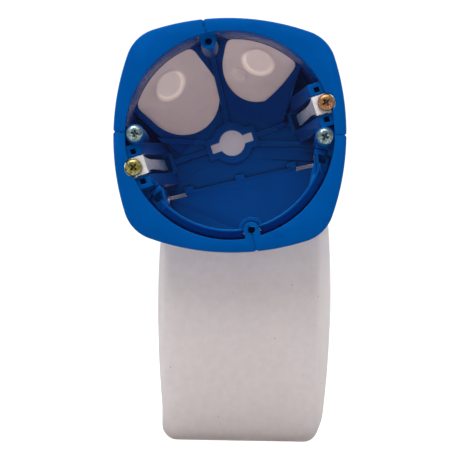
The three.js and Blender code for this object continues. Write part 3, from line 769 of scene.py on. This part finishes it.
def pocket_spot(side, y, z, pull, inset):
    """A point on the pocket's side wall at a depth and height, drawn in by pull and inset."""
    front = POCKET_LOW.y
    full_flare = POCKET_HIGH.y - 8 * MM
    back = smoothstep(y, front, full_flare)
    height = (z - POCKET_BELLY) / (POCKET_LOW.z - POCKET_BELLY)
    half = POCKET_HALF + POCKET_FLARE * back * (1 - height * height)
    middle = POCKET_CENTRE + POCKET_DRIFT * (y - front) - POCKET_LEAN * z
    return Vector((middle + side * (half - inset - pull), y, z))


def pocket_ring(y, inset):
    """One ring of the pocket: a rectangle with bulged sides, rounded at its lower corners."""
    front, rear = POCKET_LOW.y, POCKET_HIGH.y
    depth = min(1, max(0, (y - front) / (rear - front)))
    smallest_corner = 0.4 * MM
    corner = max(smallest_corner, POCKET_CORNER + POCKET_CORNER_GROWTH * depth - inset / 2)
    low = POCKET_LOW.z + inset
    high = POCKET_HIGH.z - inset
    corner_steps, side_steps, floor_steps = 10, 34, 18
    right = []
    for i in range(corner_steps):
        angle = math.pi / 2 * i / corner_steps
        right.append((low + corner * (1 - math.cos(angle)), corner * (1 - math.sin(angle))))
    right += [(low + corner + (high - low - corner) * i / side_steps, 0) for i in range(side_steps + 1)]
    points = [pocket_spot(1, y, z, pull, inset) for z, pull in right]
    points_left = [pocket_spot(-1, y, z, pull, inset) for z, pull in reversed(right)]
    top = [points[-1].lerp(points_left[0], i / floor_steps) for i in range(1, floor_steps)]
    bottom = [points_left[-1].lerp(points[0], i / floor_steps) for i in range(1, floor_steps)]
    return points + top + points_left + bottom


def pocket_form(name, inset):
    """The pocket's outside, or its inside when inset by the wall."""
    front, rear = POCKET_LOW.y + inset, POCKET_HIGH.y - inset
    start, end = front + POCKET_FRONT_EDGE, rear - POCKET_REAR_EDGE
    edge_steps, side_steps = 7, 9
    end_shares = (0.12, 0.3, 0.5, 0.7, 0.88)
    angles = [math.pi / 2 * i / edge_steps for i in range(edge_steps + 1)]
    draws = [inset + (1 - share) * POCKET_END_CROWN for share in end_shares]
    rows = [(front, draw + POCKET_FRONT_EDGE) for draw in draws]
    for angle in reversed(angles):
        y = front + POCKET_FRONT_EDGE * (1 - math.sin(angle))
        rows.append((y, inset + POCKET_FRONT_EDGE * (1 - math.cos(angle))))
    rows += [(start + (end - start) * i / side_steps, inset) for i in range(1, side_steps)]
    for angle in angles:
        y = end + POCKET_REAR_EDGE * math.sin(angle)
        rows.append((y, inset + POCKET_REAR_EDGE * (1 - math.cos(angle))))
    rows += [(rear, draw + POCKET_REAR_EDGE) for draw in reversed(draws)]
    shape = bmesh.new()
    rings = [[shape.verts.new(spot) for spot in pocket_ring(y, pull)] for y, pull in rows]
    count = len(rings[0])
    for near, far in zip(rings, rings[1:]):
        for i in range(count):
            j = (i + 1) % count
            shape.faces.new((near[i], near[j], far[j], far[i]))
    for ring in (rings[0], rings[-1]):
        shape.faces.new(ring)
    return piece_from(name, shape)


EDGE_SHINE = 0.5
SIDE_SHINE = 0.7


def pocket_edge(spot):
    """The long rounded edges beside the front face shine a little, and the side walls behind them more."""
    # Painted shine: these edges and side walls are painted brighter.
    into = spot.y - POCKET_LOW.y
    on_edge = smoothstep(into, 0.2 * MM, 1.3 * MM) - smoothstep(into, 2 * MM, 4.5 * MM)
    on_side = smoothstep(abs(spot.x - POCKET_CENTRE), POCKET_HALF - 4 * MM, POCKET_HALF - 2 * MM)
    shine = EDGE_SHINE * on_edge + SIDE_SHINE * on_side * smoothstep(into, 2 * MM, 6 * MM)
    return shine * smoothstep(spot.z, POCKET_LOW.z + 4 * MM, POCKET_LOW.z + 12 * MM)


def module_pocket():
    """The bag under the barrel, hollow, cut to fit round the barrel and open to it through the mouth."""
    bag = combined("DIFFERENCE", pocket_form("soft_module_pocket", 0), pocket_form("inside", POCKET_WALL))
    socket = envelope("socket", POCKET_LOW.y - 4 * MM, SKIN_GAP)
    combined("DIFFERENCE", bag, socket)
    low = (-BEYOND, POCKET_LOW.y - 5 * MM, POCKET_MOUTH_LOW)
    room = block("room", low, (BEYOND, FLOOR_REAR + SKIN_GAP, BEYOND))
    front, rear, radius = FLANGE_REAR, POCKET_HIGH.y + 5 * MM, POCKET_MOUTH_RADIUS
    mouth = lathe("mouth", [(0, front), (radius, front), (radius, rear), (0, rear)])
    combined("DIFFERENCE", bag, combined("INTERSECT", mouth, room))
    # Painted shine on the pocket's edges and side walls.
    mark_thin_and_painted_shine(bag, pocket_edge)
    add_group(bag, SMOOTH)
    return bag


# ---------------------------------------------------------------- screws


def tapered_bar(mouth, floor, mouth_size, floor_size, place):
    """A bar that narrows from its mouth to its floor; sizes are half-lengths and half-widths."""
    shape = bmesh.new()
    rings = []
    for y, (half, wide) in ((mouth, mouth_size), (floor, floor_size)):
        corners = ((half, wide), (-half, wide), (-half, -wide), (half, -wide))
        rings.append([shape.verts.new(place @ Vector((x, y, z))) for x, z in corners])
    for i in range(4):
        j = (i + 1) % 4
        shape.faces.new((rings[0][i], rings[0][j], rings[1][j], rings[1][i]))
    shape.faces.new(rings[0])
    shape.faces.new(rings[1])
    return piece_from("bar", shape)


def threaded_radius(y, start, end, turn):
    """The shank's radius at a depth and a share of a turn: a neck, a ridged thread and a pointed tip."""
    ridge = abs(2 * ((y / SCREW_PITCH - turn) % 1) - 1)
    valley = 0.35
    crest = max(0, ridge - valley) / (1 - valley)
    depth = smoothstep(y, start, start + SCREW_NECK)
    radius = SCREW_SHANK - (SCREW_SHANK - SCREW_ROOT) * depth * (1 - crest)
    left = max(0.0, end - y)
    blunt = 0.25
    return radius * min(1, blunt + (1 - blunt) * left / SCREW_TIP)


def screw(name, node, turned):
    """A pan-head screw with a cross recess, standing where the node stands, its recess turned by an angle."""
    low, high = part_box(node)
    middle = (low + high) / 2
    place = Matrix.Translation((middle.x, 0, middle.z)) @ Matrix.Rotation(math.radians(turned), 4, "Y")
    front = low.y
    seat = front + SCREW_HEAD_HEIGHT
    around, per_turn = 40, 8
    angles = [2 * math.pi * i / around for i in range(around)]
    rows = []
    for share, drop in SCREW_HEAD_OUTLINE:
        rows.append((front + SCREW_HEAD_HEIGHT * drop, [SCREW_HEAD * share] * around))
    count = round((high.y - seat) / SCREW_PITCH * per_turn)
    for k in range(count + 1):
        y = seat + (high.y - seat) * k / count
        rows.append((y, [threaded_radius(y, seat, high.y, i / around) for i in range(around)]))
    shape = bmesh.new()
    rings = []
    for y, radii in rows:
        spots = [Vector((radius * math.cos(a), y, radius * math.sin(a))) for radius, a in zip(radii, angles)]
        rings.append([shape.verts.new(place @ spot) for spot in spots])
    for near, far in zip(rings, rings[1:]):
        for i in range(around):
            j = (i + 1) % around
            shape.faces.new((near[i], near[j], far[j], far[i]))
    shape.faces.new(rings[0])
    shape.faces.new(rings[-1])
    made = piece_from(name, shape)
    for quarter in (0, 90):
        bar = place @ Matrix.Rotation(math.radians(quarter), 4, "Y")
        tick = bar @ Matrix.Rotation(math.radians(45), 4, "Y")
        mouth = front - 0.4 * MM
        deep = tapered_bar(mouth, front + RECESS_DEPTH, RECESS_MOUTH, RECESS_FLOOR, bar)
        shallow = tapered_bar(mouth, front + TICK_DEPTH, TICK_MOUTH, TICK_FLOOR, tick)
        combined("DIFFERENCE", made, deep, shallow)
    edges = made.modifiers.new("worn", "BEVEL")
    edges.width = 0.05 * MM
    edges.segments = 2
    edges.limit_method = "ANGLE"
    edges.angle_limit = math.radians(40)
    edges.use_clamp_overlap = False
    add_group(made, SMOOTH)
    return made


# ---------------------------------------------------------------- assembly

BLUE = blue_plastic(
    "blue_shell",
    base=(0.0, 0.098, 0.42),
    lit=(0.01, 0.2, 0.62),
    deep=(0.009, 0.028, 0.093),
    gloom=(0.25, 0.62),
)
# The shutter's copy of the blue plastic has a lighter and smaller painted shade, as it lies in the lit lower
# part of the box.
BLUE_COVER = blue_plastic(
    "blue_shutter",
    base=(0.0, 0.092, 0.4),
    lit=(0.01, 0.19, 0.6),
    deep=(0.0, 0.054, 0.2),
    gloom=(0.1, 0.1),
)
# The skin is the pocket's white moulding, painted greyer and darker here as a painted shade copy of it.
SKIN_WHITE = soft_rubber(
    "soft_skin",
    base=(0.74, 0.69, 0.69),
    tint=(0.8, 0.75, 0.75),
    through=(0.54, 0.45, 0.47),
    thin=(1.0, 0.93, 0.86),
    share=0.5,
    near_hub=(0.52, 0.5, 0.6),
)
POCKET_WHITE = soft_rubber(
    "soft_pocket",
    base=(0.86, 0.81, 0.8),
    tint=(0.9, 0.85, 0.84),
    through=(0.96, 0.93, 0.93),
    thin=(1.0, 1.0, 1.0),
    share=0.62,
    foot=(0.5, 0.42, 0.36),
    dark_inside=True,
)
STRAP_STEEL = bright_steel(
    "claw_steel",
    base=(1.0, 0.96, 0.98),
    foot=(0.4, 0.68, 0.82),
    stretch=(0.2, 0.2, 4),
)
JAW_STEEL = bright_steel(
    "jaw_steel",
    base=(0.62, 0.6, 0.56),
    foot=(0.5, 0.5, 0.48),
    stretch=(4, 0.3, 1),
)
YELLOW = plated_screw(
    "yellow_zinc",
    bright=(0.62, 0.68, 0.38),
    middle=(0.52, 0.36, 0.05),
    dark=(0.2, 0.16, 0.03),
    dirt=(0.06, 0.03, 0.005),
)
PINK = plated_screw(
    "pink_zinc",
    bright=(0.9, 0.43, 0.31),
    middle=(0.56, 0.31, 0.12),
    dark=(0.34, 0.15, 0.06),
    dirt=(0.07, 0.03, 0.008),
)
CLEAR = plated_screw(
    "clear_zinc",
    bright=(0.6, 0.72, 0.72),
    middle=(0.34, 0.45, 0.47),
    dark=(0.12, 0.22, 0.24),
    dirt=(0.01, 0.07, 0.09),
)

# Each node that is shown as it is: its material and the radius of its rounded edges.
HARD_NODES = {
    "box_body": (BLUE, 0.22 * MM),
    "pocket_shutter": (BLUE_COVER, 0.18 * MM),
    "left_claw_strap": (STRAP_STEEL, 0.12 * MM),
    "right_claw_strap": (STRAP_STEEL, 0.12 * MM),
    "left_claw_jaw": (JAW_STEEL, 0.12 * MM),
    "right_claw_jaw": (JAW_STEEL, 0.12 * MM),
}
for node, (material, edge_radius) in HARD_NODES.items():
    dress(frame["nodes"][node], material)
    finish_hard(frame["nodes"][node], edge_radius)

# Each screw's material, the body it rides on, its material slot and how far its recess is turned, in degrees.
SCREWS = {
    "left_claw_screw": (YELLOW, "left_claw_turner", "yellow_zinc", 40),
    "right_claw_screw": (PINK, "right_claw_turner", "yellow_zinc", 52),
    "left_device_screw": (CLEAR, "left_device_fixing", "clear_zinc", 8),
    "right_device_screw": (CLEAR, "right_device_fixing", "clear_zinc", 24),
}
for node, (material, body, slot_name, turned) in SCREWS.items():
    made = screw("threaded_" + node, node, turned)
    dress(made, material)
    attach(made, body)
    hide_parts(node)

skin = rear_skin()
dress(skin, SKIN_WHITE)
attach(skin, "box")
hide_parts("rear_skin")

pocket = module_pocket()
dress(pocket, POCKET_WHITE)
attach(pocket, "box")
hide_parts("module_pocket")

# ---------------------------------------------------------------- studio

FLOOR_REACH = 2.5
FLOOR_GLOW = 0.9  # seen by the camera only, so that the floor looks as white as the room
ROOM_WHITE = 1.1
FRONT_LIGHT = 0.09
BACK_LIGHT = 2.15
LIGHT_BAND = 0.35  # how far each way from the box's plane the light goes from the one to the other

CAMERA_EYE = (0.01527, -0.7628, -0.04934)
CAMERA_AIM = (0.00057, -0.0426, -0.02994)
CAMERA_ROLL = 0.93
CAMERA_LENS = 179.4


def floor():
    """A wide, flat, pale floor just under the box."""
    shape = bmesh.new()
    bmesh.ops.create_grid(shape, x_segments=8, y_segments=8, size=FLOOR_REACH)
    ground = piece_from("floor", shape)
    ground.location.z = cad_box[0].z - 0.05 * MM
    shader = Shader("floor")
    shader.put("Base Color", shader.mix(shader.noise(0.4), (0.4, 0.4, 0.4), (0.43, 0.43, 0.43)))
    shader.put("Roughness", shader.span(shader.noise(0.02), 0, 1, 0.6, 0.7))
    shader.set(Specular_IOR_Level=0.1, Emission_Color=(1, 1, 1, 1))
    path = shader.nodes.new("ShaderNodeLightPath")
    shader.put("Emission Strength", shader.span(path.outputs["Is Camera Ray"], 0, 1, 0, FLOOR_GLOW))
    dress(ground, shader.material)


def studio_world():
    """White all round: dim in front, bright behind the box, and plain white where the camera sees it."""
    world = bpy.data.worlds.new("studio")
    world.use_nodes = True
    bpy.context.scene.world = world
    nodes, links = world.node_tree.nodes, world.node_tree.links
    light = nodes["Background"]
    light.inputs["Color"].default_value = (1, 1, 1, 1)
    way = nodes.new("ShaderNodeTexCoord")
    split = nodes.new("ShaderNodeSeparateXYZ")
    links.new(way.outputs["Generated"], split.inputs[0])
    level = nodes.new("ShaderNodeMapRange")
    level.inputs["From Min"].default_value = -LIGHT_BAND
    level.inputs["From Max"].default_value = LIGHT_BAND
    level.inputs["To Min"].default_value = FRONT_LIGHT
    level.inputs["To Max"].default_value = BACK_LIGHT
    links.new(split.outputs["Y"], level.inputs["Value"])
    links.new(level.outputs[0], light.inputs["Strength"])
    seen = nodes.new("ShaderNodeBackground")
    seen.inputs["Color"].default_value = (1, 1, 1, 1)
    seen.inputs["Strength"].default_value = ROOM_WHITE
    path = nodes.new("ShaderNodeLightPath")
    choose = nodes.new("ShaderNodeMixShader")
    links.new(path.outputs["Is Camera Ray"], choose.inputs[0])
    links.new(light.outputs[0], choose.inputs[1])
    links.new(seen.outputs[0], choose.inputs[2])
    links.new(choose.outputs[0], nodes["World Output"].inputs["Surface"])


def softbox(name, place, target, size, power):
    """A square area lamp that faces a target."""
    lamp = bpy.data.lights.new(name, "AREA")
    lamp.energy = power
    lamp.size = size
    stand = link(bpy.data.objects.new(name, lamp))
    stand.location = place
    stand.rotation_euler = (Vector(target) - Vector(place)).to_track_quat("-Z", "Y").to_euler()


def camera():
    """Straight on, from a little below the middle of the box, with a long lens."""
    eye = Vector(CAMERA_EYE)
    facing = (Vector(CAMERA_AIM) - eye).to_track_quat("-Z", "Y").to_matrix().to_4x4()
    roll = Matrix.Rotation(math.radians(CAMERA_ROLL), 4, "Z")
    lens = bpy.data.cameras.new("camera")
    lens.sensor_width = 36
    lens.lens = CAMERA_LENS
    holder = link(bpy.data.objects.new("camera", lens))
    holder.matrix_world = Matrix.Translation(eye) @ facing @ roll
    bpy.context.scene.camera = holder


floor()
studio_world()
softbox("key", place=(-0.15, -0.58, 0.68), target=(0, 0, -0.03), size=0.6, power=6.1)
camera()
bpy.context.scene.view_settings.view_transform = "Standard"
